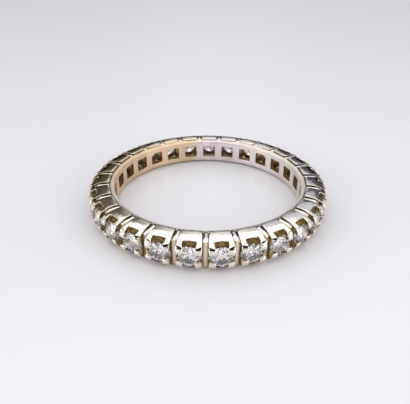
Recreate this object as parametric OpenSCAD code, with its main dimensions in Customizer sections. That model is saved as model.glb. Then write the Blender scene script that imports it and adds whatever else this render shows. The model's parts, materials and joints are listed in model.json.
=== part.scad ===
// Eternity ring: square claw collets soldered round a windowed gallery rail, each holding one brilliant.
// The ring lies on its side. Z is the finger axis, the floor is z = 0, and the origin is under the centre.
// Stone 01 sits at +Y and the others follow anticlockwise, seen from above.

/* [Ring] */
// Diameter of the finger opening
finger_d = 17; // [15:0.25:21]
// How many stones go round the ring
stone_count = 27; // [22:1:30]

/* [Gallery rail] */
// Thickness of the rail, from the finger to the backs of the collets
rail_t = 0.45; // [0.3:0.05:0.8]
// How far the rail's rims stay below the collets' plates
rail_step = 0.09; // [0:0.01:0.3]
// Chamfer along the two polished edges that touch the finger
rail_edge = 0.1; // [0.03:0.01:0.2]
// Width of the window behind each stone, along the ring
window_w = 1.26; // [0.8:0.02:1.3]
// Height of the window behind each stone, along the finger axis
window_h = 1.1; // [0.8:0.05:1.4]
// How far the posts between the windows lie back from the finger
post_step = 0.02; // [0.01:0.01:0.1]
// How deep a post's ends are let into the rail's two bands
post_bite = 0.1; // [0.05:0.01:0.2]

/* [Collets] */
// Width of a collet where it meets the rail
collet_w = 1.6; // [1.5:0.05:1.7]
// Height of a collet along the finger axis
collet_h = 2.63; // [2.5:0.01:2.9]
// Thickness of the collet's two end plates, above and below the stone
plate_t = 0.3; // [0.2:0.02:0.4]
// Thickness of the collet's side walls, towards its neighbours
side_wall = 0.16; // [0.1:0.01:0.2]
// How far the end plates stay level before they slope in to the claws
level_run = 0.75; // [0.6:0.05:1.2]
// How deep the collet's back is let into the rail
back_bite = 0.05; // [0.05:0.01:0.15]

/* [Claws] */
// Distance from the rail out to the stone's widest plane
stone_rise = 1.43; // [1.3:0.01:1.8]
// Width of the gap between two claws, along the ring
claw_gap = 1.04; // [0.8:0.02:1.2]
// Height of the gap between two claws, along the finger axis
claw_side_gap = 0.9; // [0.8:0.02:1.2]
// How far below the stone's widest plane the gaps between the claws start
claw_root = 0.35; // [0.15:0.05:0.5]
// How far the claws stand out past the stone's edge, towards the neighbours
claw_over = 0; // [0:0.01:0.06]
// How far the claws stand out past the stone's edge, above and below
claw_cover = 0.05; // [0.04:0.01:0.15]
// Outer radius of the bend that takes each claw over the stone
claw_bend = 0.42; // [0.38:0.01:0.5]

/* [Spacers] */
// How far the bar between two collets stays below their plates
spacer_step = 0.125; // [0.02:0.005:0.4]
// How far the bar reaches out from the rail
spacer_run = 1.2; // [0.6:0.05:1.3]
// How deep the bar's sides are let into the collets
spacer_bite = 0.06; // [0.03:0.01:0.08]

/* [Stones] */
// Diameter of a stone across its girdle
stone_d = 2; // [1.8:0.02:2.1]
// Width of the table as a share of the diameter
table_share = 0.57; // [0.52:0.01:0.65]
// Slope of the main crown facets, in degrees
crown_slope = 34.5; // [30:0.5:36]
// Slope of the main pavilion facets, in degrees
pavilion_slope = 40.8; // [39:0.2:43]
// Thickness of the girdle
girdle_t = 0.04; // [0.02:0.01:0.06]
// Play between a stone and its seat, measured across the girdle
seat_play = 0.04; // [0.02:0.01:0.06]

/* [Hidden] */
function stone_name(i) = str("stone_", i < 10 ? "0" : "", i);

// Smoothness of the finger opening and the seats
$fn = 96;
// Corners drawn round a claw's bend
bend_steps = 7;
// How far a claw's bend goes on past the ring's outermost circle, in degrees
tip_turn = 20;
// Reach of a cutting body past the metal that it cuts
past = 0.5;
// Facets of each kind round a brilliant
facet_count = 8;
// Place of the star tips, as a share of the way from the table's edge to the girdle
star_share = 0.5;
// Radius of the lower facets' tips as a share of the girdle's radius
lower_share = 0.24;
// Turn from one stone to the next about its own axis, so that no two sparkle alike
stone_turn = 17;

finger_r = finger_d / 2;
rail_out = finger_r + rail_t;
mid_z = collet_h / 2;
rail_half_h = mid_z - rail_step;
pitch = 360 / stone_count;

facet_step = 360 / facet_count;
half_girdle = girdle_t / 2;
stone_r = stone_d / 2;
table_r = stone_r * table_share;
table_edge = table_r * cos(facet_step / 2);
crown_rise = (stone_r - table_r) * tan(crown_slope);
star_r = table_edge + (stone_r - table_edge) * star_share;
star_rise = crown_rise * (stone_r - star_r * cos(facet_step / 2)) / (stone_r - table_r);
pavilion_drop = stone_r * tan(pavilion_slope);
lower_r = stone_r * lower_share;
lower_drop = pavilion_drop * (1 - lower_share * cos(facet_step / 2));

girdle_at = rail_out + stone_rise;
tip_at = girdle_at + claw_bend;
root_at = girdle_at - claw_root;
back_at = rail_out - back_bite;
claw_half_h = stone_r + claw_cover;
claw_half_w = stone_r + claw_over;

level_end = rail_out + level_run;
bend_z = claw_half_h - claw_bend;
bend_run = girdle_at - level_end;
bend_fall = mid_z - bend_z;
plate_slope = atan2(bend_fall, bend_run) - asin(claw_bend / norm([bend_run, bend_fall]));

// Half the width of a collet at a distance x from the finger axis
function collet_half(x) =
    collet_w / 2 + (claw_half_w - collet_w / 2) * (x - rail_out) / (tip_at - rail_out);

// Half the space between two neighbouring collets at a distance x from the finger axis
function half_space(x) = x * sin(pitch / 2) - collet_half(x) * cos(pitch / 2);

// Half the width of a post between two windows at a distance x from the finger axis
function half_post(x) = x * tan(pitch / 2) - window_w / 2 / cos(pitch / 2);

// A claw's bend, as an arc in the (x, z) plane from the plate's slope to the claw's tip
function bend_arc(from, to, steps) = [
    for (i = [0:steps])
        let (a = from + (to - from) * i / steps)
            [girdle_at + claw_bend * cos(a), bend_z + claw_bend * sin(a)]
];

function flipped(points) = [for (i = [len(points) - 1:-1:0]) [points[i][0], -points[i][1]]];

// A point of a stone, given by its radius, its angle and its height above the girdle's middle
function around(r, a, h) = [r * cos(a), r * sin(a), h];

// A body with the outline (x, y), cut to a height h across the middle
module upright(points, h) {
    linear_extrude(height = h, center = true)
        polygon(points);
}

// A body with the outline (x, z), cut to a width w along the ring
module sideways(points, w) {
    rotate([90, 0, 0])
        linear_extrude(height = w, center = true)
            polygon(points);
}

// The outline of a collet seen from above
module collet_plan() {
    near = collet_half(back_at);
    far = collet_half(tip_at);
    upright([[back_at, -near], [tip_at, -far], [tip_at, far], [back_at, near]], collet_h + past);
}

// The outline of a collet seen along the ring: level plates that slope in and bend over the stone
module collet_side() {
    upper = concat([[back_at, mid_z], [level_end, mid_z]], bend_arc(90 - plate_slope, -tip_turn, bend_steps));
    sideways(concat(upper, flipped(upper)), 2 * claw_half_w + past);
}

// The hollow of a collet behind the stone
module collet_well() {
    near = back_at - past;
    intersection() {
        upright([
            [near, -collet_half(near) + side_wall],
            [root_at, -collet_half(root_at) + side_wall],
            [root_at, collet_half(root_at) - side_wall],
            [near, collet_half(near) - side_wall]
        ], collet_h);
        translate([near, -stone_d, plate_t - mid_z])
            cube([root_at - near, 2 * stone_d, collet_h - 2 * plate_t]);
    }
}

// The seat turned in the claws for a stone: it clears the steepest edges of crown and pavilion all round
module stone_seat() {
    r = stone_r + seat_play;
    lower = half_girdle + r * lower_drop / (stone_r - lower_r);
    upper = half_girdle + r * star_rise / (stone_r - star_r);
    translate([girdle_at, 0, 0])
        rotate([0, 90, 0])
            rotate_extrude()
                polygon([[0, -lower], [r, -half_girdle], [r, half_girdle], [0, upper]]);
}

// The gaps that leave a claw standing at each corner
module claw_gaps() {
    reach = claw_root + claw_bend + past;
    translate([root_at, -claw_gap / 2, -collet_h])
        cube([reach, claw_gap, 2 * collet_h]);
    translate([root_at, -stone_d, -claw_side_gap / 2])
        cube([reach, 2 * stone_d, claw_side_gap]);
}

module collet() {
    difference() {
        intersection() {
            collet_plan();
            collet_side();
        }
        collet_well();
        stone_seat();
        claw_gaps();
    }
}

// The bar that joins a collet to the next one, drawn halfway between the two
module spacer() {
    far = rail_out + spacer_run;
    near_half = half_space(back_at) + spacer_bite;
    far_half = half_space(far) + spacer_bite;
    outline = [[back_at, -near_half], [far, -far_half], [far, far_half], [back_at, near_half]];
    upright(outline, collet_h - 2 * spacer_step);
}

// One of the rail's two bands, which touch the finger above and below the windows
module rail_band() {
    rotate_extrude()
        polygon([
            [finger_r, window_h / 2], [rail_out, window_h / 2], [rail_out, rail_half_h],
            [finger_r + rail_edge, rail_half_h], [finger_r, rail_half_h - rail_edge]
        ]);
}

// The post between two windows, flat towards the finger and with its back inside the collets' backs
module rail_post() {
    near = finger_r + post_step;
    far = (back_at + rail_out) / 2;
    near_half = half_post(near);
    far_half = half_post(far);
    outline = [[near, -near_half], [far, -far_half], [far, far_half], [near, near_half]];
    upright(outline, window_h + 2 * post_bite);
}

// The rail next to the finger: two bands, joined by posts that leave a window behind each stone
module gallery_rail() {
    for (side = [0, 1])
        mirror([0, 0, side])
            rail_band();
    for (i = [1:stone_count])
        rotate([0, 0, stone_angle(i) + pitch / 2])
            rail_post();
}

function stone_angle(i) = 90 + (i - 1) * pitch;

module setting() {
    color("#d5cdb9")
        translate([0, 0, mid_z]) {
            gallery_rail();
            for (i = [1:stone_count]) {
                rotate([0, 0, stone_angle(i)])
                    collet();
                rotate([0, 0, stone_angle(i) + pitch / 2])
                    spacer();
            }
        }
}

// A round brilliant with its table towards +Z and its girdle's middle at z = 0
module brilliant() {
    step = facet_step;
    half = half_girdle;
    last = facet_count - 1;

    points = concat(
        [for (i = [0:last]) around(table_r, i * step, half + crown_rise)],
        [for (i = [0:last]) around(star_r, (i + 0.5) * step, half + star_rise)],
        [for (i = [0:2 * facet_count - 1]) around(stone_r, i * step / 2, half)],
        [for (i = [0:2 * facet_count - 1]) around(stone_r, i * step / 2, -half)],
        [for (i = [0:last]) around(lower_r, (i + 0.5) * step, -half - lower_drop)],
        [[0, 0, -half - pavilion_drop]]
    );
    function table(i) = i % facet_count;
    function star(i) = facet_count + (i + facet_count) % facet_count;
    function upper(j) = 2 * facet_count + j % (2 * facet_count);
    function under(j) = 4 * facet_count + j % (2 * facet_count);
    function lower(i) = 6 * facet_count + (i + facet_count) % facet_count;
    culet = 7 * facet_count;

    polyhedron(points = points, faces = concat(
        [[for (i = [last:-1:0]) table(i)]],
        [for (i = [0:last]) [table(i), table(i + 1), star(i)]],
        [for (i = [0:last]) [table(i), star(i), upper(2 * i), star(i - 1)]],
        [for (i = [0:last]) [star(i), upper(2 * i + 1), upper(2 * i)]],
        [for (i = [0:last]) [star(i), upper(2 * i + 2), upper(2 * i + 1)]],
        [for (j = [0:2 * facet_count - 1]) [upper(j), upper(j + 1), under(j + 1), under(j)]],
        [for (i = [0:last]) [under(2 * i), under(2 * i + 1), lower(i)]],
        [for (i = [0:last]) [under(2 * i + 1), under(2 * i + 2), lower(i)]],
        [for (i = [0:last]) [under(2 * i), lower(i), culet, lower(i - 1)]]
    ));
}

module stone(i) {
    color("#e4e4ee")
        rotate([0, 0, stone_angle(i)])
            translate([girdle_at, 0, mid_z])
                rotate([0, 90, 0])
                    rotate([0, 0, i * stone_turn])
                        brilliant();
}

setting();
for (i = [1:stone_count]) stone(i);
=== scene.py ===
import json
import math

import bmesh
import bpy
import numpy as np
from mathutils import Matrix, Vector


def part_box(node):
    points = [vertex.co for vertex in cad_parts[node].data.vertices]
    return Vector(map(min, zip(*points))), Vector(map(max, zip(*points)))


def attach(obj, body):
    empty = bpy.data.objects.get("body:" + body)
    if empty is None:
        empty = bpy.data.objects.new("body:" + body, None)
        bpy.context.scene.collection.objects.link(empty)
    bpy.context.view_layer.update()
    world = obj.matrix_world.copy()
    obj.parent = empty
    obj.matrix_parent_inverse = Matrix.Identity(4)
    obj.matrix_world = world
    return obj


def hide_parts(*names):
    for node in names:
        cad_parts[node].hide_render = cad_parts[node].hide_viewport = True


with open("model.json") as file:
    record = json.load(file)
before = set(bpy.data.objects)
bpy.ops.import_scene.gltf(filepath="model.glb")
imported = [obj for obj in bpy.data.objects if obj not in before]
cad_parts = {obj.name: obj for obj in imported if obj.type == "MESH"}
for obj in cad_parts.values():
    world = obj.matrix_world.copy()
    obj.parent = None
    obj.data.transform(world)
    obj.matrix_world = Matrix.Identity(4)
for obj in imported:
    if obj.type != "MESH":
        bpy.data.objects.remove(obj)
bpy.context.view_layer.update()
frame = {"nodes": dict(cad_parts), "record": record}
print("frame loaded:", len(frame["nodes"]), "nodes")

mm = 0.001  # shapes are worked out in millimetres and put into the meshes in metres
quarterTurn = math.pi / 2


def cornerPoints(mesh):
    # all corners of a mesh, in millimetres
    numbers = np.empty(len(mesh.vertices) * 3)
    mesh.vertices.foreach_get("co", numbers)
    return numbers.reshape(-1, 3) / mm


# what every piece is fitted to, read from the frame
stoneNames = sorted(name for name in frame["nodes"] if name.startswith("stone_"))
boxLow, boxHigh = (np.array(corner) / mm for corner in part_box("setting"))
fingerBore = next(mount for mount in frame["record"]["mounts"] if mount["name"] == "finger_bore")
ring = {
    "stones": len(stoneNames),
    "fingerRadius": fingerBore["dims"]["r_mm"],
    "middle": (boxLow[2] + boxHigh[2]) / 2,  # height of its middle plane
    "halfHeight": (boxHigh[2] - boxLow[2]) / 2,
    "halfPitch": math.pi / len(stoneNames),
}
ring["turns"] = np.radians(90) + np.arange(ring["stones"]) * 2 * math.pi / ring["stones"]
firstStone = cornerPoints(frame["nodes"][stoneNames[0]].data)  # it sits at +Y, so Y is its own axis
fromAxis = np.hypot(firstStone[:, 0], firstStone[:, 2] - ring["middle"])
ring["stoneRadius"] = fromAxis.max()
ring["girdle"] = firstStone[fromAxis > ring["stoneRadius"] * 0.999, 1].mean()  # how far out the stones sit


def smooth(low, high, x):
    # t = (x - low) / (high - low) held in 0..1, then t * t * (3 - 2 t)
    t = np.clip((np.asarray(x, float) - low) / (high - low), 0, 1)
    return t * t * (3 - 2 * t)


def setInputs(tree, node, inputs):
    # each named input gets a number, a colour or another node's output
    for key, value in inputs.items():
        if isinstance(value, bpy.types.NodeSocket):
            tree.links.new(value, node.inputs[key])
        else:
            node.inputs[key].default_value = value


def addNode(tree, kind, output, inputs, **settings):
    # a shader node with its settings and inputs, of which one output is used
    node = tree.nodes.new("ShaderNode" + kind)
    for key, value in settings.items():
        setattr(node, key, value)
    setInputs(tree, node, inputs)
    return node.outputs[output]


def mix(tree, factor, first, second):
    # first (1 - factor) + second factor
    return addNode(tree, "Mix", "Result", {"Factor": factor, "A": first, "B": second}, data_type="RGBA")


def span(tree, value, low, high, newLow=0, newHigh=1, kind="LINEAR"):
    # low..high becomes newLow..newHigh
    inputs = {"Value": value, "From Min": low, "From Max": high, "To Min": newLow, "To Max": newHigh}
    return addNode(tree, "MapRange", "Result", inputs, interpolation_type=kind)


def noise(tree, place, scale, detail, rough=0.5):
    # the noise texture's grey value at a place
    inputs = {"Vector": place, "Scale": scale, "Detail": detail, "Roughness": rough}
    return addNode(tree, "TexNoise", "Fac", inputs)


def combine(tree, operation, *values):
    # one operation on up to three values
    return addNode(tree, "Math", "Value", dict(enumerate(values)), operation=operation)


def bump(tree, height, strength, distance, **more):
    # a normal that leans as the height changes
    inputs = {"Height": height, "Strength": strength, "Distance": distance, **more}
    return addNode(tree, "Bump", "Normal", inputs)


def newMaterial(name):
    # a material, its node tree and its main shader
    material = bpy.data.materials.new(name)
    material.use_nodes = True
    return material, material.node_tree, material.node_tree.nodes["Principled BSDF"]


goldLook = {
    "rhodium": ((0.80, 0.76, 0.69, 1), (0.87, 0.83, 0.77, 1)),  # each layer wavers between two tones
    "golden": ((0.70, 0.52, 0.34, 1), (0.80, 0.63, 0.43, 1)),
    # a pinkish finger-side tone, laid on more strongly towards the back as painted shade
    "skinAndShade": ((0.76, 0.66, 0.64, 1), (0.86, 0.78, 0.76, 1)),
    "hollow": ((0.62, 0.43, 0.20, 1), (0.80, 0.59, 0.30, 1)),
    # the darkest layer: dirt together with painted shade in grooves, gaps and seats
    "grimeAndShade": ((0.03, 0.019, 0.006, 1), (0.17, 0.112, 0.034, 1)),
    "cloudScale": 900,  # patches about a millimetre wide
    "cloudSpan": (0.35, 0.65),  # the noise values that give the one tone and the other
    "speckScale": 7000,  # of the grime and painted shade
    "speckSpan": (0.4, 0.6),
    "polishScale": 5200,
    "polishSpan": (0.3, 0.7),
    "polish": (0.05, 0.14),  # least and most roughness
    "hollowRough": 0.32,  # added in the hollows, which keep their cast skin
    "satinRough": 0.5,  # added on the rubbed rims
    "scratchScale": (9000, 9000, 1500),  # fine lines from polishing, long along the ring's axis
    "scratch": (0.25, 0.00001),  # strength and depth
    "dentScale": 1500,  # a hand-filed plate is never quite flat
    "dent": (0.35, 0.00004),
}


def whiteGold():
    # Worn white gold. Its colour goes from rhodium over golden, a skin tone with painted shade and hollow to
    # grime with painted shade by the factors that the mesh stores, and its roughness is polish + hollowRough
    # * hollow + satinRough * satin.
    material, tree, shader = newMaterial("whiteGold")
    place = addNode(tree, "TexCoord", "Object", {})

    def stored(name):
        return addNode(tree, "Attribute", "Fac", {}, attribute_name=name)

    cloud = span(tree, noise(tree, place, goldLook["cloudScale"], 3), *goldLook["cloudSpan"])
    speck = span(tree, noise(tree, place, goldLook["speckScale"], 2), *goldLook["speckSpan"])
    colour = mix(tree, cloud, *goldLook["rhodium"])
    for layer, pattern in (("golden", cloud), ("skinAndShade", cloud), ("hollow", cloud), ("grimeAndShade", speck)):
        colour = mix(tree, stored(layer), colour, mix(tree, pattern, *goldLook[layer]))

    smear = noise(tree, place, goldLook["polishScale"], 4, 0.6)
    polish = span(tree, smear, *goldLook["polishSpan"], *goldLook["polish"])
    rough = combine(tree, "MULTIPLY_ADD", stored("hollow"), goldLook["hollowRough"], polish)
    rough = combine(tree, "MULTIPLY_ADD", stored("satin"), goldLook["satinRough"], rough)

    lines = addNode(tree, "Mapping", "Vector", {"Vector": place, "Scale": goldLook["scratchScale"]})
    scratches = bump(tree, noise(tree, lines, 1, 2), *goldLook["scratch"])
    dents = bump(tree, noise(tree, place, goldLook["dentScale"], 2), *goldLook["dent"], Normal=scratches)
    setInputs(tree, shader, {"Metallic": 1.0, "Base Color": colour, "Roughness": rough, "Normal": dents})
    return material


stoneLook = {
    "clear": 0.97,  # how much light goes through
    "refraction": 2.417,
    "tints": ((0.97, 0.93, 0.98, 1), (1.0, 0.97, 0.99, 1)),
    "grainScale": 2500,
    "filmSpan": (0.4, 0.8),
    "film": 0.02,  # most roughness, from wear and grease
}


def brilliant():
    # a clear stone with a faint tint and a thin film, both by the same noise
    material, tree, shader = newMaterial("brilliant")
    grain = noise(tree, addNode(tree, "TexCoord", "Object", {}), stoneLook["grainScale"], 2)
    tint = mix(tree, grain, *stoneLook["tints"])
    film = span(tree, grain, *stoneLook["filmSpan"], 0, stoneLook["film"])
    setInputs(tree, shader, {"Transmission Weight": stoneLook["clear"], "IOR": stoneLook["refraction"],
                             "Base Color": tint, "Roughness": film})
    return material


metal = whiteGold()
gem = brilliant()
for name, node in frame["nodes"].items():
    node.data.materials.clear()
    node.data.materials.append(gem if name.startswith("stone_") else metal)
print("materials ready")


def gridQuads(shape, start, closed):
    # joins (r, c), (r, c + 1), (r + 1, c + 1) and (r + 1, c) by row r and column c, on each copy of a grid
    copies, rows, cols = shape
    row = start + (np.arange(copies)[:, None, None] * rows + np.arange(rows - 1)[None, :, None]) * cols
    col = np.arange(cols if closed else cols - 1)[None, None, :]
    after = (col + 1) % cols
    return np.stack([row + col, row + after, row + cols + after, row + cols + col], -1).reshape(-1, 4)


def aroundRing(grid, turns):
    # local (x out, y along, z from the middle) at each angle a: (x cos a - y sin a, x sin a + y cos a, z)
    x, y, z = grid[..., 0], grid[..., 1], grid[..., 2]
    a = np.asarray(turns)[:, None, None]
    height = z + 0 * a + ring["middle"]
    return np.stack([x * np.cos(a) - y * np.sin(a), x * np.sin(a) + y * np.cos(a), height], -1)


def mirrored(grids, axes):
    # each grid and its mirror images in the given axes
    for axis in axes:
        flip = np.ones(3)
        flip[axis] = -1
        grids = grids + [(grid * flip, closed) for grid, closed in grids]
    return grids


weld = {
    "distance": 2e-4,  # corners nearer than this become one
    "flatness": 90,  # how strongly the large faces rule the shading
}


def makePiece(name, grids, turns, hollow, grimeAndShade):
    # welds the grids into one closed mesh, turns its faces outwards and stores how worn each corner is, and
    # how much painted shade it gets
    points, quads, start = [], [], 0
    for grid, closed in grids:
        copies = aroundRing(grid, turns)
        quads.append(gridQuads(copies.shape[:3], start, closed))
        points.append(copies.reshape(-1, 3))
        start += len(points[-1])
    mesh = bpy.data.meshes.new(name)
    mesh.from_pydata(np.concatenate(points) * mm, [], np.concatenate(quads).tolist())
    work = bmesh.new()
    work.from_mesh(mesh)
    bmesh.ops.remove_doubles(work, verts=work.verts, dist=weld["distance"] * mm)
    bmesh.ops.dissolve_degenerate(work, edges=work.edges, dist=weld["distance"] * mm)
    bmesh.ops.recalc_face_normals(work, faces=work.faces)
    openEdges = sum(len(edge.link_faces) != 2 for edge in work.edges)
    work.to_mesh(mesh)
    work.free()
    mesh.polygons.foreach_set("use_smooth", np.ones(len(mesh.polygons), bool))
    storeWearAndShade(mesh, turns[0], hollow, grimeAndShade)
    piece = bpy.data.objects.new(name, mesh)
    bpy.context.scene.collection.objects.link(piece)
    piece.data.materials.append(metal)
    weighted = piece.modifiers.new("flat plates", "WEIGHTED_NORMAL")
    weighted.weight = weld["flatness"]
    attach(piece, "root")
    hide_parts("setting")
    print(name, len(mesh.polygons), "faces,", openEdges, "open edges")


wearAndShade = {
    "face": (0.15, 0.6),  # the finger face's look ends between these depths in the metal
    "goldFrom": (93, 104),  # the stretch without rhodium starts between these angles, in degrees from +X
    "goldTo": (178, 205),  # and ends between these
    "goldOutside": 0.3,  # how golden its other faces are
    "under": (-0.9, 0.2),  # below these heights from the middle the outside is a little golden
    "underGold": 0.3,
    "foot": (-1.25, -0.95),  # and below these more
    "footGold": 0.6,
    "skinShadeFrom": (40, 75),  # angles over which the finger face gets more of its pinkish tone and painted shade, up to that stretch
    "skinShadeLeast": 0.35,
    "lessDarkFrom": (0.6, 0.9),  # the back, by the sine of the angle, has less dirt and painted shade
    "lessDark": 0.7,
    "rimDepth": (0.2, 0.34),  # the rail's rims are rubbed up to these depths
    "rimHigh": (0.95, 1.1),  # and over these distances from the middle
}


def storeWearAndShade(mesh, turn, hollow, grimeAndShade):
    # Five factors from 0 to 1. golden: the stretch where the rhodium is gone, and the underside. The skin
    # factor:
    # the finger face's pinkish tone, laid on more strongly towards the back as painted shade. hollow: how
    # deep a
    # corner lies, and the grime factor: dirt with painted shade in its groove or gap, both worked out from
    # its local place (x out, y along, z from the middle). satin: the rubbed rims of the rail.
    x, y, z = cornerPoints(mesh).T
    radius, angle, high = np.hypot(x, y), np.arctan2(y, x), z - ring["middle"]
    depth, degrees = radius - ring["fingerRadius"], np.degrees(angle) % 360
    off = (angle - turn + ring["halfPitch"]) % (2 * ring["halfPitch"]) - ring["halfPitch"]
    local = radius * np.cos(off), radius * np.sin(off), high

    inside = 1 - smooth(*wearAndShade["face"], depth)
    started = smooth(*wearAndShade["goldFrom"], degrees)
    stretch = started * (1 - smooth(*wearAndShade["goldTo"], degrees))
    stretch = stretch * (wearAndShade["goldOutside"] + (1 - wearAndShade["goldOutside"]) * inside)
    under = wearAndShade["underGold"] * (1 - smooth(*wearAndShade["under"], high))
    under = under + wearAndShade["footGold"] * (1 - smooth(*wearAndShade["foot"], high))
    # the finger face is darkened towards the back as painted shade
    skinShade = wearAndShade["skinShadeLeast"] + (1 - wearAndShade["skinShadeLeast"]) * smooth(*wearAndShade["skinShadeFrom"], degrees)
    # the dirt and painted shade are weaker at the back
    grimeAndShadeLeft = 1 - wearAndShade["lessDark"] * smooth(*wearAndShade["lessDarkFrom"], np.sin(angle))
    factors = {
        "golden": np.maximum(stretch, under * (1 - inside)),
        "skinAndShade": inside * skinShade * (1 - started),
        "hollow": hollow(*local),
        "grimeAndShade": np.minimum(grimeAndShade(*local), 1) * grimeAndShadeLeft,
        "satin": (1 - smooth(*wearAndShade["rimDepth"], depth)) * smooth(*wearAndShade["rimHigh"], np.abs(high)),
    }
    for name, value in factors.items():
        mesh.attributes.new(name, "FLOAT", "POINT").data.foreach_set("value", value.astype(np.float32))


# a length marked out is measured from the finger's axis
collet = {
    "backHalf": 0.8,  # half the width where the collet meets the rail
    "railOut": 8.95,  # out, the rail's outer face
    "back": 8.82,  # its end face, out
    "backRound": 0.06,  # rounding of the end face's edges
    "backFall": 0.035,  # the faces lean in this far at the back
    "start": 8.99,  # out, where the plates start
    "level": 9.7,  # out, where the level plate starts to slope
    "levelBend": 0.28,  # half the length of the soft turn into the slope
    "root": 10.08,  # out, the floor of the gaps between the claws
    "claw": 10.775,  # out, where a claw's blunt end starts
    "tip": 10.835,
    "tipDrop": 0.02,  # how far the end leans in over the stone
    "tipBlunt": 0.65,  # 1 is a round end, 0 a flat one
    "bend": 0.42,  # radius of a claw's bend over the stone
    "bendStart": 0.1,  # angle, in radians, where the even steps round the bend begin
    "cover": 0.05,  # the claws stand this far above the stone's widest circle
    "gapWide": 0.545,  # half the gap above and below
    "gapHigh": 0.46,  # half the gap at the sides
    "flare": 0.08,  # the claws spread this far into the gaps at their ends
    "flareFrom": 0.2,  # starting this far over the gap's floor
    "slant": 0.1,  # and fall back this far at the collet's corners
    "slantFrom": (0.92, 1.32),  # between these distances from the stone's axis
    "fillet": 0.1,  # inner corners of the gaps
    "edge": 0.03,  # rounding of the gaps' edges
    "edgeGrow": 2,  # grows by so many times its size along the claws
    "corner": 0.045,  # and of the long edges
    "cornerGrow": 0.8,
    "plate": 0.3,  # thickness of the plates
    "side": 0.16,  # and of the side walls
    "crown": 0.02,  # the plates fall this far to their sides
    "play": 0.02,  # to the stone
    "girdleHalf": 0.02,  # half the height of the girdle's band
    "lowerRun": 1.131,  # run over rise of the seat below and above the girdle
    "upperRun": 1.168,
}
collet["bendZ"] = ring["stoneRadius"] + collet["cover"] - collet["bend"]
fall, run = ring["halfHeight"] - collet["bendZ"], ring["girdle"] - collet["level"]
collet["slope"] = math.atan2(fall, run) - math.asin(collet["bend"] / math.hypot(run, fall))

columns = {
    "floor": 4,  # columns along half the floor of a gap
    "fillet": 6,  # round its inner corner
    "arm": 4,  # along the straight side of a claw, both ends counted
    "bend": 8,  # and round the claw's bend
    "corner": 6,  # the column that runs to the collet's back corner
}
columns["filletEnd"] = columns["floor"] + columns["fillet"] - 1


def colletWidth(x):
    # half width: a straight line from backHalf at the rail to the stone's radius at the claw tips
    length = ring["girdle"] + collet["bend"] - collet["railOut"]
    return collet["backHalf"] + (ring["stoneRadius"] - collet["backHalf"]) * (x - collet["railOut"]) / length


def colletHeight(x):
    # half height: level, a parabola as long as 2 levelBend, the slope's straight line, then the circle of the
    # claw's bend
    t = np.maximum(x - collet["level"] + collet["levelBend"], 0)
    soft = np.minimum(t, 2 * collet["levelBend"])
    drop = soft ** 2 / (4 * collet["levelBend"]) + t - soft
    arc = collet["bendZ"] + np.sqrt(np.clip(collet["bend"] ** 2 - (x - ring["girdle"]) ** 2, 0, None))
    tangent = ring["girdle"] + collet["bend"] * math.sin(collet["slope"])
    return np.where(x > tangent, arc, ring["halfHeight"] - math.tan(collet["slope"]) * drop)


def crowned(x, across):
    # plates fall a little towards their sides: height - crown (across / half width)^2
    return colletHeight(x) - collet["crown"] * (across / colletWidth(x)) ** 2


def seatRadius(x):
    # the stone's envelope: its radius plus the play, less the run of the cones below and above the girdle
    below = np.maximum(ring["girdle"] - collet["girdleHalf"] - x, 0) * collet["lowerRun"]
    above = np.maximum(x - ring["girdle"] - collet["girdleHalf"], 0) * collet["upperRun"]
    return ring["stoneRadius"] + collet["play"] - below - above


def rounding(x, name):
    # the rounding of "edge" or "corner", which grows along the claws
    return collet[name] * (1 + collet[name + "Grow"] * smooth(collet["root"], collet["claw"], x))


def gapHalf(size, x):
    # half a gap: its full size at the root, less the flare at the claws' ends
    return size - collet["flare"] * smooth(collet["root"] + collet["flareFrom"], collet["claw"], x)


def gapPath(size):
    # Half of the U round a gap, from its middle over the fillet (f - f cos t, f sin t) to the claw's end, and
    # its normal into the metal.
    f, root = collet["fillet"], collet["root"]
    floor = np.linspace(0, size - f, columns["floor"] + 1)[:-1]
    t = np.linspace(0, quarterTurn, columns["fillet"])
    lift = math.asin((collet["claw"] - ring["girdle"]) / collet["bend"])
    bent = ring["girdle"] + collet["bend"] * np.sin(np.linspace(collet["bendStart"], lift, columns["bend"]))
    arm = np.concatenate([np.linspace(root + f, bent[0], columns["arm"])[1:-1], bent])
    x = np.concatenate([0 * floor + root, root + f - f * np.cos(t), arm])
    across = np.concatenate([floor, size - f + f * np.sin(t), gapHalf(size, arm)])
    normalOut = np.concatenate([0 * floor - 1, -np.cos(t), 0 * arm])
    normalAcross = np.concatenate([0 * floor, np.sin(t), 0 * arm + 1])
    return x, across, normalOut, normalAcross


def upright(x, across, high):
    # a point of the upper wall: x out, across along the ring, high above the middle
    return np.stack([x, across, high], -1)


def sideways(x, across, high):
    # the same for the side wall: across is now the height, and high the distance along the ring
    return np.stack([x, high, across], -1)


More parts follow.
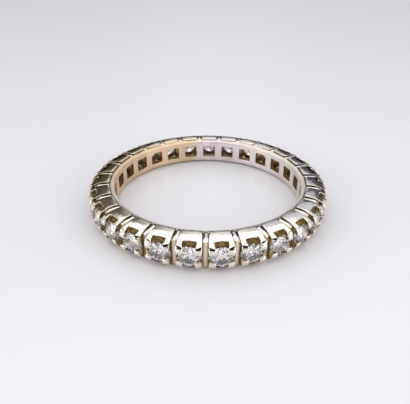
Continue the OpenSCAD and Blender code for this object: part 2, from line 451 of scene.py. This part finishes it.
def wallGrid(halfGap, outer, side, innerPlate, innerSide, otherGap, place):
    # One wall of a quarter collet in flat terms: x out, s across, n high. Rows run from the collet's corner
    # line over the outer face, corner (1 - b) + gap b, round the gap's edge by e (1 - sin t) across and
    # e (1 - cos t) down, along the gap's wall and back on the inside.
    x, s, nx, ns = gapPath(halfGap)
    e = rounding(x, "edge")
    turn, filletEnd = columns["corner"], columns["filletEnd"]
    cornerX, cornerS, innerS = x.copy(), side(x) - rounding(x, "corner"), innerSide + 0 * x
    cornerX[:turn + 1] = collet["start"]
    cornerS[:turn + 1] = (side(collet["start"]) - collet["corner"]) * np.linspace(0, 1, turn + 1)
    innerS[:turn + 1] = innerSide * np.linspace(0, 1, turn + 1)
    along = np.linspace(collet["start"], x[filletEnd], filletEnd - turn + 1)
    cornerX[turn:filletEnd + 1] = along
    cornerS[turn:filletEnd + 1] = side(along) - rounding(along, "corner")

    rows = []
    for b in np.linspace(0, 1, 6):
        faceX = cornerX + (x + e * nx - cornerX) * b
        faceS = cornerS + (s + e * ns - cornerS) * b
        rows.append(place(faceX, faceS, outer(faceX, faceS)))
    lip = outer(x + e * nx, s + e * ns)
    for t in np.linspace(0, quarterTurn, 4)[1:]:
        off = e * (1 - math.sin(t))
        rows.append(place(x + off * nx, s + off * ns, lip - e * (1 - math.cos(t))))

    # inside: plate and side walls behind the root, the stone's envelope in the claws
    near, far = gapHalf(halfGap, x), gapHalf(otherGap, x)
    radius = np.maximum(seatRadius(x), np.hypot(near, far))
    depth = np.maximum(np.sqrt(radius ** 2 - np.minimum(s, near) ** 2), far)
    middle = (np.arcsin(near / radius) + np.arccos(far / radius)) / 2
    blend = smooth(columns["floor"], filletEnd, np.arange(len(x)))
    innerS = innerS * (1 - blend) + radius * np.sin(middle) * blend
    innerN = innerPlate * (1 - blend) + radius * np.cos(middle) * blend
    rows.append(place(x, s, (lip - e + depth) / 2))
    for b in (0, 0.5, 1):
        rows.append(place(x + (cornerX - x) * b, s + (innerS - s) * b, depth + (innerN - depth) * b))
    return np.stack(rows)


def longEdge(upper, lateral):
    # the rounded edge between the two walls: (y0 + (y1 - y0) sin t, z1 + (z0 - z1) cos t)
    t = np.linspace(0, quarterTurn, 5)[:, None]
    first, second = upper[0, columns["corner"]:], lateral[0, columns["corner"]:]
    y = first[:, 1] + (second[:, 1] - first[:, 1]) * np.sin(t)
    z = second[:, 2] + (first[:, 2] - second[:, 2]) * np.cos(t)
    return np.stack([first[:, 0] + 0 * t, y, z], -1)


def backEnd(upper, lateral, corner):
    # The outer loop leans in by backFall, then it is rounded over by e (1 - cos t) inwards and e sin t
    # backwards, and meets the inner loop.
    turn, e = columns["corner"], collet["backRound"]
    loop = np.concatenate([upper[0, :turn], corner[:, 0], lateral[0, :turn][::-1]])
    innerCorner = np.repeat(upper[-1, turn:turn + 1], len(corner), 0)
    inner = np.concatenate([upper[-1, :turn], innerCorner, lateral[-1, :turn][::-1]])
    t = np.linspace(0, quarterTurn, len(corner))
    outwards = np.zeros_like(loop)
    outwards[:turn, 2] = 1
    outwards[turn:turn + len(t), 1:] = np.stack([np.sin(t), np.cos(t)], -1)
    outwards[turn + len(t):, 1] = 1
    rows = [loop]
    for angle in t:
        row = loop - outwards * (collet["backFall"] + e * (1 - math.cos(angle)))
        row[:, 0] = collet["back"] + e - e * math.sin(angle)
        rows.append(row)
    end = inner.copy()
    end[:, 0] = collet["back"]
    return np.stack(rows + [end, inner])


def clawEnd(upper, lateral, corner):
    # a claw's section shrinks by cos(t) ^ tipBlunt about its middle while it moves on by sin(t)
    section = np.concatenate([upper[:, -1], lateral[::-1, -1][1:], corner[::-1, -1][1:-1]])
    middle = (section.min(0) + section.max(0)) / 2
    reach = np.array([collet["tip"] - collet["claw"], 0, -collet["tipDrop"]])
    t = np.linspace(0, quarterTurn, 9)[:, None, None]
    return middle + (section - middle) * np.cos(t) ** collet["tipBlunt"] + reach * np.sin(t)


def slanted(grid):
    # the claws' ends fall back towards the collet's corners: x - slant * s(x) * s(distance from stone's axis)
    x, y, z = grid[..., 0], grid[..., 1], grid[..., 2]
    outer = smooth(ring["girdle"], collet["claw"], x)
    return np.stack([x - collet["slant"] * outer * smooth(*collet["slantFrom"], np.hypot(y, z)), y, z], -1)


def colletGrids():
    # a quarter of a collet: two walls, the long edge between them, the back end and the claw's end
    plateIn, sideIn = ring["halfHeight"] - collet["plate"], collet["backHalf"] - collet["side"]
    upper = wallGrid(collet["gapWide"], crowned, colletWidth, plateIn, sideIn, collet["gapHigh"], upright)
    lateral = wallGrid(collet["gapHigh"], lambda x, across: colletWidth(x), colletHeight, sideIn, plateIn,
                       collet["gapWide"], sideways)
    corner = longEdge(upper, lateral)
    quarter = [(slanted(upper), False), (slanted(lateral), False), (slanted(corner), False),
               (backEnd(upper, lateral, corner), False), (slanted(clawEnd(upper, lateral, corner)), True)]
    return mirrored(quarter, (1, 2))


colletWearAndShade = {
    "deep": (0.03, 0.14),  # depths under the outer faces from which it is a hollow
    "seatFrom": (9.9, 10.1),  # out, the hollow further in is cleaner
    "further": 0.5,  # this much as brown
    "flank": (-0.006, -0.001),  # a corner so near the half width lies on a side that faces a bar
    "flankFrom": (10.0, 10.1),  # out, where the sides are brown too
    "flankBrown": 0.5,
    "clawsFrom": (10.5, 10.68),  # out, the claws' ends are clean
    "lessFrom": ((9.95, 10.1), (10.4, 10.6)),  # out, at each the sides lose half their dirt and painted shade
    "backTo": (8.88, 8.95),  # out, the end face is darkened with dirt and painted shade up to here
    "backGrimeAndShade": 0.85,
}


def flank(x, y):
    # 1 on the sides that face the bars, 0 elsewhere
    return smooth(*colletWearAndShade["flank"], np.abs(y) - colletWidth(x))


def colletHollow(x, y, z):
    # how far a corner lies under the collet's outer faces, the smaller of width - |y| and height - |z|, and
    # the sides, but not the claws' ends
    under = smooth(*colletWearAndShade["deep"], np.minimum(colletWidth(x) - np.abs(y), colletHeight(x) - np.abs(z)))
    further = colletWearAndShade["further"]
    inside = under * (further + (1 - further) * smooth(*colletWearAndShade["seatFrom"], x))
    side = colletWearAndShade["flankBrown"] * flank(x, y) * smooth(*colletWearAndShade["flankFrom"], x)
    return np.maximum(inside, side) * (1 - smooth(*colletWearAndShade["clawsFrom"], x))


def colletGrimeAndShade(x, y, z):
    # dirt and painted shade: the end face, and the sides that face the bars, less further out
    lost = sum(0.5 * smooth(*limits, x) for limits in colletWearAndShade["lessFrom"])
    endFace = colletWearAndShade["backGrimeAndShade"] * (1 - smooth(*colletWearAndShade["backTo"], x))
    return np.maximum(flank(x, y) * (1 - lost), endFace)


makePiece("collets", colletGrids(), ring["turns"], colletHollow, colletGrimeAndShade)

seat = {
    "back": 10.0,
    "rim": 10.5,  # how far out its edge stands on the stone's crown
    "high": 1.12,  # its outer radius behind the stone
    "girdleHigh": 1.05,
    "thin": 0.035,  # at its edge
    "reach": 42,  # degrees to both sides of the middle, into the claws
    "lessDarkToStone": 0.06,  # dirt and painted shade lost towards the stone
    "lessDarkToStoneFrom": (10.05, 10.25),  # out
}


def seatGrids():
    # The seat in the gap between two claws: a closed profile (x, radius) carried round the stone's axis by an
    # angle a, as (x, radius sin a, radius cos a). Its ends shrink to one point inside the claws.
    root, girdle, rim, high = collet["root"], ring["girdle"], seat["rim"], seat["high"]
    edge = seatRadius(rim) + seat["thin"]
    profile = [
        (seat["back"], high),  # outside
        (root, high),
        ((root + girdle) / 2, high - 0.02),
        (girdle, seat["girdleHigh"]),
        (girdle + 0.08, seat["girdleHigh"] - 0.06),
        (rim, edge),  # the thin edge over the stone
        (rim + 0.006, edge - 0.018),
    ]
    for x in (rim, girdle + collet["girdleHalf"], girdle - collet["girdleHalf"], root + 0.04):
        profile.append((x, seatRadius(x)))  # inside, next to the stone
    profile += [(seat["back"], seatRadius(root)), (seat["back"], high)]
    x, radius = np.array(profile).T

    reach = math.radians(seat["reach"])
    a = np.concatenate([[-reach], np.linspace(-reach, reach, 15), [reach]])
    full = np.ones(len(a))
    full[[0, -1]] = 0
    middleX, middleRadius = x[:-1].mean(), radius[:-1].mean()
    x = middleX + (x[:, None] - middleX) * full
    radius = middleRadius + (radius[:, None] - middleRadius) * full
    return mirrored([(np.stack([x, radius * np.sin(a), radius * np.cos(a)], -1), False)], (2,))


def seatHollow(x, y, z):
    # all of it lies in the gaps
    return 1 + 0 * x


def seatGrimeAndShade(x, y, z):
    # dirt and painted shade all over, a little less towards the stone
    return 1 - seat["lessDarkToStone"] * smooth(*seat["lessDarkToStoneFrom"], x)


makePiece("seats", seatGrids(), ring["turns"], seatHollow, seatGrimeAndShade)

bars = {
    "back": 8.9,  # out, where a bar starts
    "sections": (9.1, 9.5, 9.9),  # out, between its back and its rounded end
    "end": 10.24,
    "endRound": 0.07,
    "halfHeight": ring["halfHeight"] - 0.085,
    "under": 0.01,  # further out it stays this far under the plates
    "bite": 0.01,  # how far its sides go into the collets
    "round": 0.085,
    "crown": 0.035,  # rise of its rounded top over its sides
}


def gapBetween(x):
    # half the space between two collets: x sin(pitch / 2) - collet width * cos(pitch / 2)
    return x * math.sin(ring["halfPitch"]) - colletWidth(x) * math.cos(ring["halfPitch"])


def barGrids():
    # A bar: a rounded box section carried out along x. Its half width is the gap's and the bite, less
    # endRound (1 - cos t) at its outer end, which is then closed along its middle line.
    bow = bars["endRound"]
    t = np.linspace(0, quarterTurn, 7)
    x = np.concatenate([[bars["back"], bars["back"]], bars["sections"], bars["end"] - bow * (1 - np.sin(t)),
                        [bars["end"]]])[:, None]
    full = gapBetween(x) + bars["bite"]
    half = full.copy()
    half[-1 - len(t):-1, 0] -= bow * (1 - np.cos(t))
    half[[0, -1]] = 0
    r = np.minimum(bars["round"], half)
    toEnd = np.maximum(bars["round"] - (bars["end"] - x), 0)  # the top's edge is rounded over the end too
    level = np.minimum(bars["halfHeight"], colletHeight(x) - bars["under"])
    top = level - bars["round"] + np.sqrt(bars["round"] ** 2 - toEnd ** 2)
    crown = bars["crown"] * (half - r) / (full - bars["round"])
    corner = np.linspace(0, quarterTurn, 5)
    rise = np.linspace(0, 1, 5)[:-1]
    y = np.concatenate([(half - r) * rise, half - r + r * np.sin(corner), half + np.zeros((1, 2))], 1)
    z = np.concatenate([top - crown * rise ** 2, top - crown - r + r * np.cos(corner),
                        (top - bars["round"]) * np.array([[0.5, 0.0]])], 1)
    z[0] = 0  # the inner end closes in its middle
    return mirrored([(np.stack([x + 0 * y, y, z], -1), False)], (1, 2))


barWearAndShade = {
    "edge": (-0.055, -0.03),  # dirt and painted shade from so near the collets on
    "endFrom": (10.08, 10.16),  # out, where the bar's outer end starts
    "endSides": (0.05, 0.12),  # there its sides get dirt and painted shade, from these distances off its middle
    "endGrimeAndShade": 0.45,
    "hollowSides": (0.04, 0.2),
    "hollowFrom": (10.05, 10.18),
}


def barHollow(x, y, z):
    # both sides of the outer end
    return smooth(*barWearAndShade["hollowSides"], np.abs(y)) * smooth(*barWearAndShade["hollowFrom"], x)


def barGrimeAndShade(x, y, z):
    # dirt and painted shade on the rounded edges next to the collets, and on both sides of the outer end
    end = smooth(*barWearAndShade["endFrom"], x)
    edges = smooth(*barWearAndShade["edge"], np.abs(y) - gapBetween(x))
    return edges * (1 - end) + barWearAndShade["endGrimeAndShade"] * smooth(*barWearAndShade["endSides"], np.abs(y)) * end


makePiece("bars", barGrids(), ring["turns"] + ring["halfPitch"], barHollow, barGrimeAndShade)

rail = {
    "outer": 8.95,
    "outerRound": 0.03,
    "halfHeight": ring["halfHeight"] - 0.12,
    "fall": 0.11,  # its rim leans this far down towards the finger
    "edge": 0.07,  # rounding next to the finger
    "windowWide": 0.63,
    "windowHigh": 0.6,
    "windowRound": 0.12,
    "lip": 0.025,  # rounding of the windows' edges
    "lipTurns": (0.52, 1.05, 1.57),  # the angles it is drawn at, in radians
    "border": 0.06,  # width of the first ring of faces round a window
    "straight": 0.15,  # and of the last one before the outer face
    "tileHigh": 0.85,  # up to here the wall is drawn in tiles round the windows
    "hollowDepth": (0.02, 0.08),  # behind the finger face the windows' walls are brown
    "hollowHigh": (-0.75, -0.65),  # but not the rims
}


def windowTiles():
    # One quarter of the wall round a window. Columns run from above the window, round its corner, to its
    # side, and rows from the finger face over the lip to the outer face.
    f = np.concatenate([np.linspace(0, 1, 6), np.ones(4)])
    g = np.concatenate([np.ones(6), np.linspace(1, 0, 5)[1:]])
    w, h, r = rail["windowWide"], rail["windowHigh"], rail["windowRound"]
    bow = np.linspace(0, quarterTurn, 5)[1:]
    turn = np.concatenate([np.zeros(4), bow, np.full(2, quarterTurn)])
    windowY = np.concatenate([np.linspace(0, w - r, 4), w - r + r * np.sin(bow), np.full(2, w)])
    windowZ = np.concatenate([np.full(4, h), h - r + r * np.cos(bow), np.array([0.5, 0]) * (h - r)])

    def tile(radius, off, spread):
        # spread 0 follows the window's outline grown by off, 1 the tile's own outline, on a cylinder
        y = (windowY + off * np.sin(turn)) * (1 - spread) + radius * np.sin(ring["halfPitch"] * f) * spread
        z = (windowZ + off * np.cos(turn)) * (1 - spread) + rail["tileHigh"] * g * spread
        return np.stack([np.sqrt(radius ** 2 - y ** 2), y, z], -1)

    inner, outer, lip = ring["fingerRadius"], rail["outer"], rail["lip"]
    rows = [tile(inner, 0, 1), tile(inner, lip + rail["border"], 0), tile(inner, lip, 0)]
    rows += [tile(inner + lip * (1 - math.cos(t)), lip * (1 - math.sin(t)), 0) for t in rail["lipTurns"]]
    rows += [tile(outer - rail["straight"], 0, 0), tile(outer, 0, 0), tile(outer, 0, 1)]
    return np.stack(rows)


def rimGrid():
    # the rim: from the finger face over the rounded edge (e - e cos t, e sin t), up the leaning top and down
    # the outer face
    inner, outer, e, low = ring["fingerRadius"], rail["outer"], rail["edge"], rail["outerRound"]
    top, tileHigh, fallTo = rail["halfHeight"], rail["tileHigh"], rail["halfHeight"] - rail["fall"]
    t = np.linspace(0, quarterTurn, 5)
    half = 0.5 * (inner + e + outer - low)
    radius = np.concatenate([[inner], inner + e * (1 - np.cos(t)), [half], outer - low + low * np.sin(t[::2]),
                             [outer]])[:, None]
    z = np.concatenate([[tileHigh], fallTo - e + e * np.sin(t), [top - rail["fall"] / 2],
                        top - low + low * np.cos(t[::2]), [tileHigh]])[:, None]
    a = ring["halfPitch"] * np.linspace(0, 1, 6)[None, :]
    return np.stack([radius * np.cos(a), radius * np.sin(a), z + 0 * a], -1)


def railHollow(x, y, z):
    # the windows' walls: away from the finger face, and not too high or low
    depth = np.hypot(x, y) - ring["fingerRadius"]
    return smooth(*rail["hollowDepth"], depth) * smooth(*rail["hollowHigh"], -np.abs(z))


def railGrime(x, y, z):
    # none, wearing it keeps it clean
    return 0 * x


railGrids = mirrored([(windowTiles(), False), (rimGrid(), False)], (1, 2))
makePiece("galleryRail", railGrids, ring["turns"], railHollow, railGrime)
print("metal pieces made")

view = {
    "imageWidth": 410,
    "focalPixels": 461.6,  # focal length in pixels of the photo's frame
    "sensor": 36.0,  # its width in mm
    "distance": 43.2,  # from the ring's middle, in mm
    "azimuth": 0.69,
    "elevation": 29.03,
    "yaw": -0.32,
    "pitch": -1.64,
    "roll": 0.51,
}


def turnPair(first, second, angle):
    # two directions turned in their own plane: (a cos t - b sin t, a sin t + b cos t)
    t = math.radians(angle)
    return first * math.cos(t) - second * math.sin(t), first * math.sin(t) + second * math.cos(t)


def addCamera():
    # it stands in front of the ring and looks at its middle, then it is turned by yaw, pitch and roll
    e, a = math.radians(view["elevation"]), math.radians(view["azimuth"])
    right = np.array([math.cos(a), math.sin(a), 0])
    forward = np.array([-math.sin(a) * math.cos(e), math.cos(a) * math.cos(e), -math.sin(e)])
    up = np.cross(right, forward)
    eye = -forward * view["distance"] + [0, 0, ring["middle"]]
    right, forward = turnPair(right, forward, view["yaw"])
    up, forward = turnPair(up, forward, view["pitch"])
    up, right = turnPair(up, right, view["roll"])
    data = bpy.data.cameras.new("camera")
    data.sensor_width = view["sensor"]
    data.lens = view["focalPixels"] * view["sensor"] / view["imageWidth"]
    data.clip_start = mm
    camera = bpy.data.objects.new("camera", data)
    matrix = np.eye(4)
    matrix[:3] = np.stack([right, up, -forward, eye * mm], -1)
    camera.matrix_world = matrix.T.tolist()
    bpy.context.scene.collection.objects.link(camera)
    bpy.context.scene.camera = camera


addCamera()

# Light by direction (x to the right, y to the back, z up). Each pair of numbers is a soft edge: nothing of
# the next surface at the first, all of it at the second.
studio = {
    "boxTilt": 8,  # the soft box overhead leans this far to the back, in degrees
    "boxEdge": (45.3, 34),  # degrees from its middle
    "boxLight": (1.55, 1.55, 1.58, 1),
    "screenFoot": (0.455, 0.515),  # at the back a screen hangs down to here, and changes from left to right
    "screenTurn": (-0.26, 0.02),
    "screenEnd": (0.02, 0.14),
    "screenLeft": (0.13, 0.11, 0.08, 1),
    "screenMiddle": (0.97, 0.98, 0.95, 1),
    "screenRight": (0.70, 0.70, 0.76, 1),
    "shelfTop": (0.45, 0.41),  # under it stands a short pale shelf
    "shelfEnd": (0.17, 0.08),
    "shelfLight": (0.74, 0.72, 0.74, 1),
    "sidesTurn": (-0.1, 0.1),  # with dark walls to its left and right
    "left": (0.08, 0.07, 0.045, 1),
    "right": (0.10, 0.10, 0.14, 1),
    "tableTop": (0.28, 0.33),  # and lowest a nearly black table
    "table": (0.01, 0.01, 0.012, 1),
    "wingsFrom": (0.60, 0.70),  # pale walls further to both sides
    "wings": (0.80, 0.76, 0.68, 1),
    "frontFrom": (0.2, -0.2),  # here the front half starts
    "front": (0.008, 0.007, 0.006, 1),  # high up behind the camera it is nearly dark
    "frontTop": (0.57, 0.5),  # under that stands a pale wall
    "frontWall": (0.85, 0.84, 0.85, 1),
    "frontLowTop": (0.3, 0.19),  # lowest the edge of a pale table
    "frontLow": (1.05, 0.99, 0.88, 1),
    "windowsFrom": (0.58, 0.74),  # and windows on both sides
    "windows": (3.0, 2.92, 3.02, 1),
    "even": (0.93, 0.93, 0.955, 1),  # what the floor gets, as under a large tent
    "backdrop": (0.86, 0.86, 0.88, 1),  # what the camera sees
}


def addStudio():
    # Surfaces are laid over each other by direction d: the room's back and front by height z and side x, then
    # the soft box by the angle acos(d . its middle).
    world = bpy.data.worlds.new("studio")
    bpy.context.scene.world = world
    world.use_nodes = True
    tree = world.node_tree
    place = addNode(tree, "TexCoord", "Generated", {})
    split = tree.nodes.new("ShaderNodeSeparateXYZ")
    tree.links.new(place, split.inputs["Vector"])
    x, y, z = (split.outputs[axis] for axis in "XYZ")
    aside = combine(tree, "ABSOLUTE", x)
    rise = math.radians(90 - studio["boxTilt"])
    dot = addNode(tree, "VectorMath", "Value", {0: place, 1: (0, math.cos(rise), math.sin(rise))},
                  operation="DOT_PRODUCT")
    away = combine(tree, "DEGREES", combine(tree, "ARCCOSINE", dot))

    def cover(value, edge, below, above):
        # the colour above covers the one below where the value is past the edge, with soft ends
        factor = span(tree, value, *studio[edge], kind="SMOOTHSTEP")
        colours = (studio[colour] if isinstance(colour, str) else colour for colour in (below, above))
        return mix(tree, factor, *colours)

    sides = cover(x, "sidesTurn", "left", "right")
    shelf = cover(z, "shelfTop", sides, cover(aside, "shelfEnd", sides, "shelfLight"))
    screen = cover(x, "screenTurn", "screenLeft", "screenMiddle")
    screen = cover(x, "screenEnd", screen, "screenRight")
    back = cover(z, "screenFoot", shelf, screen)
    back = cover(z, "tableTop", "table", back)
    back = cover(aside, "wingsFrom", back, "wings")
    front = cover(z, "frontLowTop", "frontWall", "frontLow")
    front = cover(aside, "windowsFrom", front, "windows")
    front = cover(z, "frontTop", "front", front)
    room = cover(y, "frontFrom", back, front)
    lit = cover(away, "boxEdge", room, "boxLight")
    path = tree.nodes.new("ShaderNodeLightPath")
    lit = mix(tree, path.outputs["Is Diffuse Ray"], lit, studio["even"])
    lit = mix(tree, path.outputs["Is Camera Ray"], lit, studio["backdrop"])
    tree.links.new(lit, tree.nodes["Background"].inputs["Color"])


addStudio()

ground = {
    "half": 0.5,  # half its width, in metres
    "colour": (0.83, 0.825, 0.84, 1),
    "roughness": 0.3,
    "gloss": 0.3,
}


def addFloor():
    # a square plane at height 0
    mesh = bpy.data.meshes.new("floor")
    half = ground["half"]
    corners = [(-half, -half, 0), (half, -half, 0), (half, half, 0), (-half, half, 0)]
    mesh.from_pydata(corners, [], [(0, 1, 2, 3)])
    floor = bpy.data.objects.new("floor", mesh)
    bpy.context.scene.collection.objects.link(floor)
    material, tree, shader = newMaterial("paleFloor")
    setInputs(tree, shader, {"Base Color": ground["colour"], "Roughness": ground["roughness"],
                             "Specular IOR Level": ground["gloss"]})
    mesh.materials.append(material)


addFloor()
bpy.context.scene.view_settings.view_transform = "Standard"
print("camera, light and floor ready")
